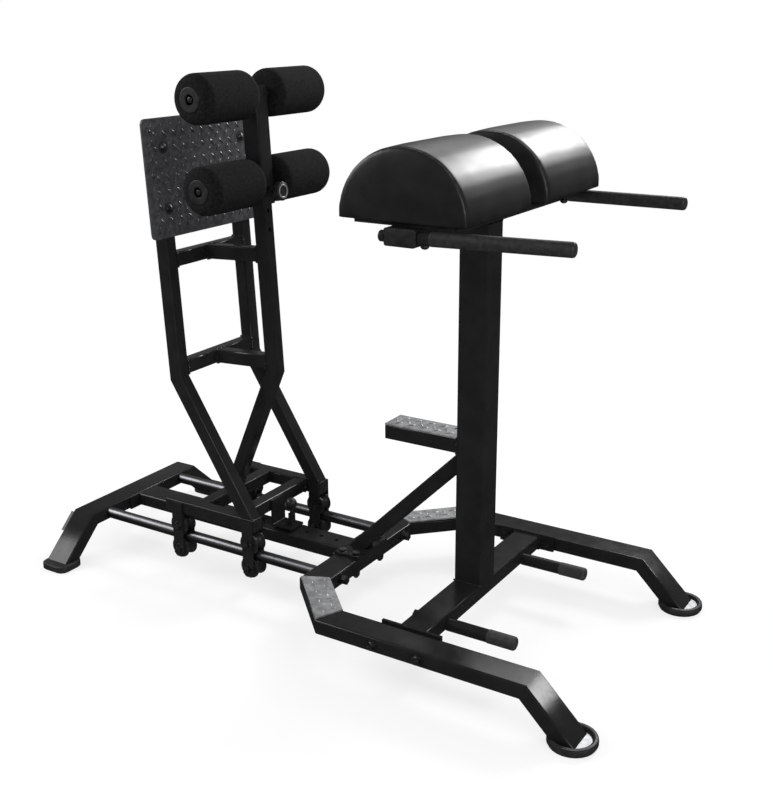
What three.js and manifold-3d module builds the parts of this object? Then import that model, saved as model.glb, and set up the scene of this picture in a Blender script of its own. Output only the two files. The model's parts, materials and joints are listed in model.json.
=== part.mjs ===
// Glute ham developer: a U-shaped base carries a post with two half-round hip pads and two
// handles. A carriage on eight guide rollers runs along two round rods and carries the leaning
// tower with the foot plate and the ankle rollers. Millimetres, +X to the pads, +Z up, origin
// on the floor under the middle of the length.

import * as THREE from 'three';
import { mergeVertices } from 'three/addons/utils/BufferGeometryUtils.js';
import Module from 'manifold-3d';

const wasm = await Module();
wasm.setup();

const degree = Math.PI / 180;

// Stock and fits
const flatWide = 76;
const flatTall = 38;
const squareTube = 38;
const tubeCorner = 5;
const postSide = 76;
const plate = 6;
const flangeThick = 8;
const seat = 0.3;
const overrun = 4;
const weld = 0.001;
const cornerSteps = 2;
const roundSides = 24;
const barSides = 16;
const holeSides = 10;
const hexSides = 6;
const arcSteps = 3;
const rightAngle = 90 * degree;

// Base, measured from the front face of its cross-beam
const frameTop = 129;
const baseHalfWidth = 392;
const cornerClear = 76;
const frontKnee = 635;
const frontLegSlope = 45 * degree;
const rodLength = 737;
const rodRadius = 15.5;
const rodSpacing = 308;
const endPlateWide = 150;
const rearKnee = 220;
const rearLegSlope = 43 * degree;

// Feet
const discRadius = 56;
const discFloor = 11;
const discRim = 20;
const discWall = 5;
const discAhead = 7;
const bootFloor = 8;
const bootTall = 19;
const bootWide = 90;
const bootLong = 82;
const bootAhead = 5;
const bootOut = 366;
const bootRound = 22;
const rearTabLong = 47;
const rearTabTall = 28;
const rearTabThick = 12;
const bootEdge = 2;

// Post, step and brace
const postX = 305.5;
const padSeatHeight = 1083;
const flangeLong = 160;
const flangeTall = 44;
const flangeRise = 6;
const postBoltSpacing = 120;
const pegSpacing = 411;
const pegHeight = 104;
const pegRadius = 16;
const pegReach = 179;
const pegRound = 5;
const pegNut = 14;
const pegNutTall = 16;
const stepTop = 512;
const stepReach = 204;
const treadPlate = 4;
const braceSlope = 45 * degree;
const braceFootWide = 140;
const braceBoltSpacing = 118;
const braceBoltInset = 21;
const braceBoltTip = 14;

// Pads and handles
const padDepth = 307;
const padWidth = 314;
const padGap = 74;
const padShift = -6.5;
const padEdge = 6;
const padCrown = 2;
const padDome = 2;
const padPanel = 70;
const padFoot = 4;
const padSteps = 18;
const boardThick = 7;
const boardInset = 34;
const boardSideInset = 12;
const padBeamHalf = 361;
const capThick = 5;
const capEdge = 2;
const handleRadius = 14;
const handleReach = 332;
const handleRoot = 348.5;
const handleLift = 0.5;
const handleToeIn = 4 * degree;
const handleRise = 0.8 * degree;
const handleRound = 3;
const handleNut = 12.5;
const handleNutTall = 14;
const handleNutRound = 5;
const handleScrew = 8;
const handleScrewIn = 12;
const handleScrewDrop = 5.5;

// Carriage
const railTop = 217;
const railLength = 303;
const frontMemberInset = 68;
const frontRollerInset = 16;
const wheelbase = 245;
const bracketWide = 35;
const bracketThick = 5.5;
const bracketTop = 214;
const bracketLow = 50;
const bracketCorner = 9;
const rollerWide = 36;
const rollerRadius = 30;
const rollerWaist = 18;
const grooveSteps = 10;
const axleRadius = 5;
const travelBack = 200;
const travelAhead = 150;
const notchPitch = 50;

// Pull pin of the carriage
const pinRadius = 5;
const pinHoleRadius = 6;
const pinAhead = 50;
const pinTabWide = 56;
const pinTabAhead = 18;
const pinTabTop = 141;
const pinBarrelRadius = 10;
const pinBarrelTall = 32;
const pinTip = 132;
const ballRadius = 15.5;
const ballHeight = 204.6;
const ballSteps = 6;
const beamHoleDeep = 18;

// Tower
const towerLean = 2.9 * degree;
const columnKneeX = -306.6;
const columnKneeZ = 581.5;
const towerDepth = 203;
const legSlope = 58.4 * degree;
const columnLegSlope = 66.4 * degree;
const lowerBar = 27;
const upperBar = 316;
const uprightTall = 664;
const columnShort = 52;
const footPlateTall = 299;
const footPlateAbove = 13;
const footPlateWide = 448;
const footPlateThick = 5;
const footPlateRound = 14;
const footBoltSpacing = 152;
const gussetThick = 8;
const gussetReach = 50;
const gussetDrop = 42;

// Ankle carrier and rollers
const sleeveSide = 50;
const sleeveBelow = 165;
const sleeveAbove = 130;
const sleeveFit = 0.8;
const lowerAxleBelow = 106;
const upperAxleAbove = 109;
const ankleAxleRadius = 12.5;
const ankleAxleLong = 195;
const collarRadius = 20;
const collarLong = 9;
const foamStart = 36;
const foamRadius = 60.5;
const foamLength = 206;
const foamRound = 25;
const foamSteps = 4;
const foamCap = 30;
const foamCapProud = 2;
const foamRecess = 12.5;
const foamRecessDeep = 5;
const bearingFit = 0.6;
const popPinBelow = 131.5;
const popPinRadius = 5;
const popPinTip = 21;
const popBarrelLong = 14;
const popBarrelRadius = 13;
const popKnobFace = 71;
const popKnobRadius = 24;
const popKnobLong = 16;
const popKnobEdge = 3;
const columnHoleRadius = 5.8;
const columnHoleDeep = 14;
const carrierDown = 100;
const carrierUp = 50;

// Fasteners
const boltRadius = 6;
const boltHead = 11;
const headTall = 7;
const washerRadius = 13;
const washerTall = 2;
const rodBoltHead = 12.5;
const rodBoltHeadTall = 17;
const rodBoltDeep = 24;
const domeRadius = 12;
const domeTall = 7;
const boltTip = 3;

// Places that several pieces share
const sides = [['right', -1], ['left', 1]];
const frameMid = frameTop - flatTall / 2;
const crossX = -flatWide / 2;
const rearTubeX = -flatWide - rodLength - flatWide / 2;
const runnerY = baseHalfWidth - flatWide / 2;
const rodY = rodSpacing / 2;
const chamferLeg = baseHalfWidth - rodY - cornerClear;
const postFront = postX + postSide / 2;
const postRear = postX - postSide / 2;
const padBeamTop = padSeatHeight - boardThick - seat;
const padBeamMid = padBeamTop - flatTall / 2;
const uprightKneeX = columnKneeX - towerDepth * Math.cos(towerLean);
const uprightKneeZ = columnKneeZ - towerDepth * Math.sin(towerLean);
const uprightFootX = uprightKneeX + (uprightKneeZ - railTop) / Math.tan(legSlope);
const columnFootX = columnKneeX - (columnKneeZ - railTop) / Math.tan(columnLegSlope);
const railFront = uprightFootX + squareTube / 2 / Math.sin(legSlope);
const railMid = railTop - squareTube / 2;
const frontMemberX = railFront - frontMemberInset;
const frontRollerX = railFront - frontRollerInset;
const pinX = frontMemberX + squareTube / 2 + pinAhead;
const rollerDrop = rodRadius + seat + rollerWaist;
const columnTall = uprightTall - columnShort;
const sleeveLow = columnTall - sleeveBelow;
const sleeveHigh = columnTall + sleeveAbove;
const lowerAxle = columnTall - lowerAxleBelow;
const upperAxle = columnTall + upperAxleAbove;
const popPinHeight = columnTall - popPinBelow;
const footPlateLow = uprightTall + footPlateAbove - footPlateTall;

function at(x, y, z) {
  return new THREE.Vector3(x, y, z);
}

const alongX = at(1, 0, 0);
const alongY = at(0, 1, 0);
const alongZ = at(0, 0, 1);

const finishes = {
  coat: { color: 0x2a2a2b, roughness: 0.5, metalness: 0.25 },
  tread: { color: 0x9a9b9c, roughness: 0.45, metalness: 0.4 },
  chrome: { color: 0xd9dadb, roughness: 0.12, metalness: 1 },
  steel: { color: 0x4a4b4c, roughness: 0.4, metalness: 0.7 },
  rubber: { color: 0x3b3b3c, roughness: 0.8, metalness: 0 },
  plastic: { color: 0x303031, roughness: 0.5, metalness: 0 },
  foam: { color: 0x2e2e2f, roughness: 0.95, metalness: 0 },
  vinyl: { color: 0x1f1f20, roughness: 0.35, metalness: 0 },
  board: { color: 0x1b1b1b, roughness: 0.9, metalness: 0 },
};

const assembly = new THREE.Group();
const tower = new THREE.Group();
tower.position.set(columnKneeX, 0, columnKneeZ);
tower.rotation.y = -towerLean;
assembly.add(tower);

function add(name, geometry, finish, owner = assembly) {
  const mesh = new THREE.Mesh(geometry, new THREE.MeshStandardMaterial(finishes[finish]));
  mesh.name = name;
  owner.add(mesh);
  return mesh;
}

// A closed geometry as a solid that can be joined and cut
function toSolid(geometry) {
  const bare = geometry.clone();
  bare.deleteAttribute('normal');
  bare.deleteAttribute('uv');
  const merged = mergeVertices(bare, weld);
  const corners = merged.index.array;
  const triVerts = [];
  for (let i = 0; i < corners.length; i += 3) {
    const [a, b, c] = [corners[i], corners[i + 1], corners[i + 2]];
    if (a !== b && b !== c && c !== a) triVerts.push(a, b, c);
  }
  return new wasm.Manifold(new wasm.Mesh({
    numProp: 3,
    vertProperties: new Float32Array(merged.attributes.position.array),
    triVerts: new Uint32Array(triVerts),
  }));
}

function toGeometry(solid) {
  const { vertProperties, triVerts } = solid.getMesh();
  const geometry = new THREE.BufferGeometry();
  geometry.setAttribute('position', new THREE.BufferAttribute(vertProperties, 3));
  geometry.setIndex(new THREE.BufferAttribute(triVerts, 1));
  geometry.computeVertexNormals();
  return geometry;
}

function shaped(joined, cutters = []) {
  const body = joined.map(toSolid).reduce((sum, next) => sum.add(next));
  return toGeometry(cutters.map(toSolid).reduce((rest, cutter) => rest.subtract(cutter), body));
}

// Outline of a tube or plate with rounded corners
function roundedOutline(wide, tall, radius, steps = cornerSteps) {
  const points = [];
  [[1, 1], [-1, 1], [-1, -1], [1, -1]].forEach(([across, up], quarter) => {
    for (let step = 0; step <= steps; step += 1) {
      const angle = (quarter + step / steps) * rightAngle;
      points.push(new THREE.Vector2(
        across * (wide / 2 - radius) + radius * Math.cos(angle),
        up * (tall / 2 - radius) + radius * Math.sin(angle),
      ));
    }
  });
  return points;
}

// Rings of equal count joined into one closed skin with its faces outwards
function skin(rings) {
  const count = rings[0].length;
  const last = rings.length - 1;
  const middle = (ring) => ring.reduce((sum, p) => sum.add(p), at(0, 0, 0)).divideScalar(count);
  const points = [...rings.flat(), middle(rings[0]), middle(rings[last])];
  const faces = [];
  for (let i = 0; i < count; i += 1) {
    const next = (i + 1) % count;
    for (let ring = 0; ring < last; ring += 1) {
      const low = ring * count;
      const high = low + count;
      faces.push([low + i, low + next, high + next], [low + i, high + next, high + i]);
    }
    faces.push([points.length - 2, next, i]);
    faces.push([points.length - 1, last * count + i, last * count + next]);
  }
  const volume = faces.reduce((sum, [a, b, c]) => (
    sum + points[a].clone().cross(points[b]).dot(points[c])
  ), 0);
  const turnedOut = volume < 0 ? faces.map(([a, b, c]) => [a, c, b]) : faces;
  const geometry = new THREE.BufferGeometry().setFromPoints(points);
  geometry.setIndex(turnedOut.flat());
  geometry.computeVertexNormals();
  return geometry;
}

// A tube along straight runs with mitred bends; its ends are cut square or by a given plane
function tube(path, side, outline, startCut = null, endCut = null) {
  const last = path.length - 1;
  const runs = path.slice(1).map((point, i) => point.clone().sub(path[i]).normalize());
  const across = side.clone();
  const rings = path.map((point, i) => {
    const run = runs[Math.min(i, last - 1)];
    const before = runs[Math.max(i - 1, 0)];
    const turn = new THREE.Quaternion().setFromUnitVectors(before, run);
    across.applyQuaternion(turn);
    const rise = run.clone().cross(across);
    const cut = (i === 0 && startCut) || (i === last && endCut) || run.clone().add(before);
    return outline.map(({ x, y }) => {
      const spot = point.clone().addScaledVector(across, x).addScaledVector(rise, y);
      return spot.addScaledVector(run, cut.dot(point.clone().sub(spot)) / cut.dot(run));
    });
  });
  return skin(rings);
}

function block(x0, x1, y0, y1, z0, z1) {
  const box = new THREE.BoxGeometry(Math.abs(x1 - x0), Math.abs(y1 - y0), Math.abs(z1 - z0));
  return box.translate((x0 + x1) / 2, (y0 + y1) / 2, (z0 + z1) / 2);
}

// Outlines of equal count stacked along a direction, for caps and plates with eased edges
function stack(layers, from, across, direction) {
  const rise = direction.clone().cross(across);
  return skin(layers.map(([outline, height]) => outline.map(({ x, y }) => (
    from.clone().addScaledVector(across, x).addScaledVector(rise, y).addScaledVector(direction, height)
  ))));
}

// A round bar from one point along a direction
function bar(radius, from, direction, length, count = holeSides) {
  const turn = new THREE.Quaternion().setFromUnitVectors(alongY, direction);
  return new THREE.CylinderGeometry(radius, radius, length, count)
    .translate(0, length / 2, 0)
    .applyQuaternion(turn)
    .translate(from.x, from.y, from.z);
}

// A turned piece from pairs of radius and height along a direction
function turned(profile, from, direction, count = roundSides) {
  const turn = new THREE.Quaternion().setFromUnitVectors(alongY, direction);
  return new THREE.LatheGeometry(profile.map(([r, h]) => new THREE.Vector2(r, h)), count)
    .applyQuaternion(turn)
    .translate(from.x, from.y, from.z);
}

// An arc of radius and height pairs for a turned profile
function arc(centreRadius, centreHeight, radius, startAngle, endAngle, steps = arcSteps) {
  return Array.from({ length: steps + 1 }, (_, i) => {
    const angle = startAngle + (endAngle - startAngle) * i / steps;
    return [centreRadius + radius * Math.cos(angle), centreHeight + radius * Math.sin(angle)];
  });
}

// A bolt from its seat into the work, with a washer and, if wanted, a nut on the far face
function bolt(from, direction, grip, head, nut = true, tall = headTall) {
  const back = direction.clone().negate();
  const seatPoint = from.clone().addScaledVector(back, seat);
  const inner = seatPoint.clone().addScaledVector(back, washerTall / 2);
  const reach = washerTall / 2 + seat + grip + (nut ? seat + headTall + boltTip : 0);
  const joined = [
    bar(boltRadius, inner, direction, reach),
    bar(head * washerRadius / boltHead, seatPoint, back, washerTall, barSides),
    bar(head, inner, back, washerTall / 2 + tall, hexSides),
  ];
  if (nut) {
    const behind = from.clone().addScaledVector(direction, grip + seat);
    joined.push(bar(head, behind, direction, headTall, hexSides));
  }
  return shaped(joined);
}

function boltHole(from, direction, length) {
  const start = from.clone().addScaledVector(direction, -overrun);
  return bar(boltRadius + seat, start, direction, length + 2 * overrun);
}

// Base: one tube from front foot to front foot, with a chamfer at each rear corner
const flatOutline = roundedOutline(flatWide, flatTall, tubeCorner);
const squareOutline = roundedOutline(squareTube, squareTube, tubeCorner);
const chamferShift = flatWide / 2 * Math.tan(rightAngle / 4);
const crossCornerY = baseHalfWidth - chamferLeg - chamferShift;
const runnerCornerX = -flatWide + chamferLeg + chamferShift;
const frontKneeX = frontKnee - flatTall / 2 * Math.tan(frontLegSlope / 2);
const frontFootZ = discFloor + seat;
const frontFootX = frontKneeX + (frameMid - frontFootZ) / Math.tan(frontLegSlope);
const innerRunner = baseHalfWidth - flatWide;

function basePath(side) {
  return [
    at(frontFootX, side * runnerY, frontFootZ),
    at(frontKneeX, side * runnerY, frameMid),
    at(runnerCornerX, side * runnerY, frameMid),
    at(crossX, side * crossCornerY, frameMid),
  ];
}

const postBoltXs = [-1, 1].map((end) => postX + end * postBoltSpacing / 2);
const braceBolts = [-1, 1].flatMap((end) => sides.map(([, side]) => (
  [crossX + end * braceBoltInset, side * braceBoltSpacing / 2]
)));
add('front_frame', shaped(
  [tube([...basePath(-1), ...basePath(1).reverse()], alongY, flatOutline, alongZ, alongZ)],
  [
    ...sides.flatMap(([, side]) => [
      ...postBoltXs.map((x) => boltHole(at(x, side * innerRunner, frameMid), at(0, side, 0), flatWide)),
      boltHole(at(-flatWide, side * rodY, frameMid), alongX, flatWide),
    ]),
    ...braceBolts.map(([x, y]) => boltHole(at(x, y, frameTop - flatTall), alongZ, flatTall)),
  ],
), 'coat');

// Tread plates on the two chamfered corners
sides.forEach(([name, side]) => {
  const corners = [
    [-flatWide + treadPlate, baseHalfWidth - chamferLeg],
    [-flatWide + chamferLeg, baseHalfWidth - treadPlate],
    [-flatWide + chamferLeg + 2 * chamferShift, innerRunner + treadPlate],
    [-treadPlate, baseHalfWidth - chamferLeg - 2 * chamferShift],
  ];
  const layers = [seat, seat + treadPlate].map((rise) => (
    corners.map(([x, y]) => at(x, side * y, frameTop + rise))
  ));
  add(`corner_tread_${name}`, skin(layers), 'tread');
});

// Rear frame: a cross tube with both ends bent down and out
const rearKneeY = rearKnee - flatTall / 2 * Math.tan(rearLegSlope / 2);
const rearFootZ = bootFloor + seat;
const rearFootY = rearKneeY + (frameMid - rearFootZ) / Math.tan(rearLegSlope);
const rearTabs = sides.map(([, side]) => {
  const knee = at(rearTubeX - flatWide / 2 - rearTabThick / 2 + seat, side * rearKneeY, frameMid);
  const down = at(0, side * Math.cos(rearLegSlope), -Math.sin(rearLegSlope));
  const outline = roundedOutline(rearTabThick, rearTabTall, seat);
  return tube([knee, knee.clone().addScaledVector(down, rearTabLong)], alongX, outline, null, alongZ);
});
add('rear_frame', shaped([
  tube([
    at(rearTubeX, -rearFootY, rearFootZ),
    at(rearTubeX, -rearKneeY, frameMid),
    at(rearTubeX, rearKneeY, frameMid),
    at(rearTubeX, rearFootY, rearFootZ),
  ], alongX, flatOutline, alongZ, alongZ),
  ...rearTabs,
]), 'coat');

// Main beam between the two frames, with its end plates and a row of holes for the pull pin
const beamRear = rearTubeX + flatWide / 2 + seat;
const beamFront = -flatWide - seat;
const beamHoles = [];
for (let shift = -travelBack; shift <= travelAhead; shift += notchPitch) {
  const floor = at(pinX + shift, 0, frameTop - beamHoleDeep);
  beamHoles.push(bar(pinHoleRadius, floor, alongZ, beamHoleDeep + overrun));
}
add('main_beam', shaped(
  [
    tube([at(beamRear, 0, frameMid), at(beamFront, 0, frameMid)], alongY, flatOutline),
    ...[beamRear, beamFront - plate].map((x) => (
      block(x, x + plate, -endPlateWide / 2, endPlateWide / 2, frameTop - flatTall, frameTop)
    )),
  ],
  beamHoles,
), 'coat');

// Guide rods, each drawn against the cross-beam by a bolt in its front end
sides.forEach(([name, side]) => {
  const boltEnd = at(-flatWide - rodBoltDeep - seat, side * rodY, frameMid);
  add(`guide_rod_${name}`, shaped(
    [bar(rodRadius, at(beamRear, side * rodY, frameMid), alongX, beamFront - beamRear, roundSides)],
    [bar(boltRadius + seat, boltEnd, alongX, rodBoltDeep + overrun)],
  ), 'chrome');
  add(`rod_bolt_${name}`, bolt(at(0, side * rodY, frameMid), at(-1, 0, 0), flatWide + rodBoltDeep,
    rodBoltHead, false, rodBoltHeadTall), 'steel');
});

// Front feet: rubber discs with a raised rim, notched where the leg runs in
const looseFlat = roundedOutline(flatWide + 2 * seat, flatTall + 2 * seat, tubeCorner + seat);
sides.forEach(([name, side]) => {
  const lip = discWall / 2;
  const disc = turned([
    [0, 0],
    [discRadius - lip, 0],
    ...arc(discRadius - lip, discRim - lip, lip, 0, Math.PI),
    [discRadius - discWall, discFloor],
    [0, discFloor],
  ], at(frontFootX + discAhead, side * runnerY, 0), alongZ);
  const knee = at(frontKneeX, side * runnerY, frameMid);
  const toe = at(frontFootX + seat / Math.tan(frontLegSlope), side * runnerY, discFloor);
  add(`front_foot_${name}`, shaped([disc], [tube([toe, knee], alongY, looseFlat, alongZ)]), 'rubber');
});

// Rear feet: rubber boots that the ends of the rear tube stand in
sides.forEach(([name, side]) => {
  const knee = at(rearTubeX, side * rearKneeY, frameMid);
  const toe = at(rearTubeX, side * (rearFootY + seat / Math.tan(rearLegSlope)), bootFloor);
  const [full, eased] = [0, bootEdge].map((inset) => (
    roundedOutline(bootWide - 2 * inset, bootLong - 2 * inset, bootRound - inset, arcSteps)
  ));
  const body = stack([[eased, 0], [full, bootEdge], [full, bootTall - bootEdge], [eased, bootTall]],
    at(rearTubeX + bootAhead, side * (bootOut - bootLong / 2), 0), alongX, alongZ);
  add(`rear_foot_${name}`, shaped([body], [tube([toe, knee], alongX, looseFlat, alongZ)]), 'rubber');
});

// A stud behind the root of a peg or handle, overlapping it a little
function stud(root, direction, length) {
  const start = root.clone().addScaledVector(direction, -length);
  return bar(boltRadius, start, direction, length + boltTip);
}

function roundedBar(radius, rounding, root, direction, length) {
  return turned([
    [0, 0],
    [radius, 0],
    ...arc(radius - rounding, length - rounding, rounding, 0, rightAngle),
    [0, length],
  ], root, direction, barSides);
}

// Post frame: cross-beam with bolted flanges, post and step
const postBeamHalf = innerRunner - seat;
const stepTubeTop = stepTop - treadPlate - seat;
const stepTubeMid = stepTubeTop - flatTall / 2;
const stepRear = postRear - stepReach;
const postTop = padBeamTop - flatTall - seat;
const flangeTop = frameTop + flangeRise;
const pegY = pegSpacing / 2;
add('post_frame', shaped(
  [
    tube([at(postX, -postBeamHalf, frameMid), at(postX, postBeamHalf, frameMid)], alongX, flatOutline),
    tube([at(postX, 0, frameMid), at(postX, 0, postTop)], alongX,
      roundedOutline(postSide, postSide, tubeCorner)),
    tube([at(stepRear, 0, stepTubeMid), at(postX, 0, stepTubeMid)], alongY, flatOutline),
    ...sides.map(([, side]) => block(postX - flangeLong / 2, postX + flangeLong / 2,
      side * (postBeamHalf - flangeThick), side * postBeamHalf, flangeTop - flangeTall, flangeTop)),
  ],
  sides.flatMap(([, side]) => [
    ...postBoltXs.map((x) => (
      boltHole(at(x, side * (postBeamHalf - flangeThick), frameMid), at(0, side, 0), flangeThick)
    )),
    boltHole(at(postRear, side * pegY, pegHeight), alongX, postSide),
  ]),
), 'coat');
sides.forEach(([name, side]) => postBoltXs.forEach((x, i) => {
  add(`post_bolt_${name}_${['rear', 'front'][i]}`, bolt(at(x, side * baseHalfWidth, frameMid),
    at(0, -side, 0), flatWide + seat + flangeThick, boltHead), 'steel');
}));
add('step_tread', block(stepRear, postRear - seat, -flatWide / 2, flatWide / 2,
  stepTubeTop + seat, stepTop), 'tread');

// Band pegs: round bars held by a stud through the beam and a nut behind it
sides.forEach(([name, side]) => {
  const root = at(postFront + seat, side * pegY, pegHeight);
  const behind = at(postRear - seat, side * pegY, pegHeight);
  add(`band_peg_${name}`, shaped([
    roundedBar(pegRadius, pegRound, root, alongX, pegReach),
    stud(root, alongX, postSide + 2 * seat + pegNutTall + boltTip),
    bar(pegNut, behind, at(-1, 0, 0), pegNutTall, hexSides),
  ]), 'coat');
});

// Brace from the cross-beam up to the post, under the step
const braceFoot = frameTop + seat + plate;
const braceHalf = squareTube / 2 / Math.cos(braceSlope);
const braceEnd = at(postRear - seat, 0, stepTubeTop - flatTall - seat - braceHalf);
const braceSink = braceFoot - plate / 2;
const braceStart = at(braceEnd.x - (braceEnd.z - braceSink) / Math.tan(braceSlope), 0, braceSink);
add('brace', shaped([
  tube([braceStart, braceEnd], alongY, squareOutline, alongZ, alongX),
  block(-flatWide, 0, -braceFootWide / 2, braceFootWide / 2, frameTop + seat, braceFoot),
  ...braceBolts.flatMap(([x, y]) => {
    const under = frameTop - flatTall - seat;
    return [
      bar(boltHead, at(x, y, braceSink), alongZ, plate / 2 + headTall, hexSides),
      bar(boltRadius, at(x, y, under - headTall - braceBoltTip), alongZ,
        braceSink - under + headTall + braceBoltTip + boltTip),
      bar(boltHead, at(x, y, under - headTall), alongZ, headTall, hexSides),
    ];
  }),
]), 'coat');

// Pad beam with its end caps, and the two handles that toe in from its front face
const handleZ = padBeamMid + handleLift;
const padBeamOutline = roundedOutline(postSide, flatTall, tubeCorner);
const handleLean = handleRadius * Math.sin(handleToeIn) + seat;
const studLong = postSide / Math.cos(handleToeIn) + 2 * handleLean;
const handleWay = (side) => (
  at(Math.cos(handleToeIn), -side * Math.sin(handleToeIn), Math.tan(handleRise)).normalize()
);
add('pad_beam', shaped(
  [tube([at(postX, -padBeamHalf, padBeamMid), at(postX, padBeamHalf, padBeamMid)], alongX, padBeamOutline)],
  sides.map(([, side]) => {
    const mouth = at(postFront, side * handleRoot, handleZ);
    return boltHole(mouth.addScaledVector(handleWay(side), -studLong), handleWay(side), studLong);
  }),
), 'coat');
sides.forEach(([name, side]) => {
  const eased = roundedOutline(postSide - 2 * capEdge, flatTall - 2 * capEdge, tubeCorner - capEdge);
  const layers = [[padBeamOutline, 0], [padBeamOutline, capThick - capEdge], [eased, capThick]];
  add(`beam_cap_${name}`, stack(layers, at(postX, side * (padBeamHalf + seat), padBeamMid), alongX,
    at(0, side, 0)), 'plastic');
  const way = handleWay(side);
  const root = at(postFront + handleLean, side * handleRoot, handleZ);
  const behind = root.clone().addScaledVector(way, -studLong);
  const under = root.clone().addScaledVector(way, handleScrewIn);
  add(`handle_${name}`, shaped([
    roundedBar(handleRadius, handleRound, root, way, handleReach),
    stud(root, way, studLong + handleNutTall / 2),
    roundedBar(handleNut, handleNutRound, behind, way.clone().negate(), handleNutTall),
    bar(handleScrew, under, at(0, 0, -1), handleRadius + handleScrewDrop, hexSides),
  ]), 'coat');
});

// Hip pads: half-round cushions on boards, either side of the post
const padX = postX + padShift;
const padStations = [
  [0, padPanel],
  ...arc(0, 0, padEdge, 0, rightAngle).map(([inside, along]) => (
    [padDome + padEdge - inside, padEdge - along]
  )),
  [padWidth / 4, -padCrown],
];
const padRings = [
  ...padStations,
  [padWidth / 2, -padCrown],
  ...padStations.map(([along, inset]) => [padWidth - along, inset]).reverse(),
];

function padRing(y, inset) {
  const half = padDepth / 2 - inset;
  const base = padSeatHeight + seat;
  const arch = Array.from({ length: padSteps + 1 }, (_, i) => {
    const angle = Math.PI * i / padSteps;
    return at(padX + half * Math.cos(angle), y, base + padFoot + (half - padFoot) * Math.sin(angle));
  });
  return [at(padX - half + padFoot, y, base), at(padX + half - padFoot, y, base), ...arch];
}

sides.forEach(([name, side]) => {
  add(`hip_pad_${name}`, skin(padRings.map(([along, inset]) => (
    padRing(side * (padGap / 2 + along), inset)
  ))), 'vinyl');
  add(`pad_board_${name}`, block(
    padX - padDepth / 2 + boardInset,
    padX + padDepth / 2 - boardInset,
    side * (padGap / 2 + boardSideInset),
    side * (padGap / 2 + padWidth - boardSideInset),
    padBeamTop + seat,
    padSeatHeight,
  ), 'board');
});

// Carriage: two rails, two cross-members and the bracket with the barrel of the pull pin
const railRear = railFront - railLength;
const tabRear = frontMemberX + squareTube / 2;
const tabFront = pinX + pinTabAhead;
const pinTabHalf = pinTabWide / 2;
const pinHoleFrom = at(pinX, 0, pinTabTop - plate - overrun);
add('carriage_frame', shaped(
  [
    ...sides.map(([, side]) => tube(
      [at(railRear, side * rodY, railMid), at(railFront, side * rodY, railMid)], alongY, squareOutline,
    )),
    ...[frontMemberX, columnFootX].map((x) => tube(
      [at(x, -rodY, railMid), at(x, rodY, railMid)], alongX, squareOutline,
    )),
    block(tabRear - seat, tabRear + plate, -pinTabHalf, pinTabHalf, pinTabTop - plate, railTop - tubeCorner),
    block(tabRear, tabFront, -pinTabHalf, pinTabHalf, pinTabTop - plate, pinTabTop),
    bar(pinBarrelRadius, at(pinX, 0, pinTabTop - plate / 2), alongZ, plate / 2 + pinBarrelTall, barSides),
  ],
  [bar(pinRadius + seat, pinHoleFrom, alongZ, plate + pinBarrelTall + 2 * overrun, barSides)],
), 'coat');

// Pull pin, drawn up clear of the beam
add('pull_pin', shaped([
  bar(pinRadius, at(pinX, 0, pinTip), alongZ, ballHeight - pinTip, barSides),
  new THREE.SphereGeometry(ballRadius, barSides, ballSteps * 2).translate(pinX, 0, ballHeight),
]), 'plastic');

// Roller brackets: a plate on each side of the rail, joined by the two axles
const rollerXs = [['rear', frontRollerX - wheelbase], ['front', frontRollerX]];
const rollerHeights = [['upper', rollerDrop], ['lower', -rollerDrop]];
const bracketInner = squareTube / 2 + seat;
sides.forEach(([name, side]) => rollerXs.forEach(([place, x]) => {
  const y = side * rodY;
  const half = bracketWide / 2;
  const outline = [
    [half, bracketLow + bracketCorner], [half, bracketTop], [-half, bracketTop],
    [-half, bracketLow + bracketCorner], [bracketCorner - half, bracketLow],
    [half - bracketCorner, bracketLow],
  ];
  const plates = [-1, 1].map((face) => skin([bracketInner, bracketInner + bracketThick].map((out) => (
    outline.map(([dx, z]) => at(x + dx, y + face * out, z))
  ))));
  const headFrom = bracketInner + bracketThick / 2;
  const axles = rollerHeights.flatMap(([, rise]) => [
    bar(axleRadius, at(x, y - headFrom, frameMid + rise), alongY, 2 * headFrom),
    ...[-1, 1].map((face) => bar(boltHead - washerTall, at(x, y + face * headFrom, frameMid + rise),
      at(0, face, 0), bracketThick / 2 + headTall, hexSides)),
  ]);
  add(`roller_bracket_${name}_${place}`, shaped([...plates, ...axles]), 'coat');

  // Guide rollers with a hollow waist that rides on the round rod
  rollerHeights.forEach(([level, rise]) => {
    const hollow = rodRadius + seat;
    const waist = Math.acos((rollerDrop - rollerRadius) / hollow);
    const groove = arc(rollerDrop, 0, hollow, Math.PI + waist, Math.PI - waist, grooveSteps);
    const profile = [
      [axleRadius + seat, -rollerWide / 2],
      [rollerRadius, -rollerWide / 2],
      ...groove,
      [rollerRadius, rollerWide / 2],
      [axleRadius + seat, rollerWide / 2],
      [axleRadius + seat, -rollerWide / 2],
    ];
    add(`guide_roller_${name}_${place}_${level}`, shaped([
      turned(profile, at(x, y, frameMid + rise), alongY, barSides),
    ]), 'plastic');
  });
}));

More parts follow.
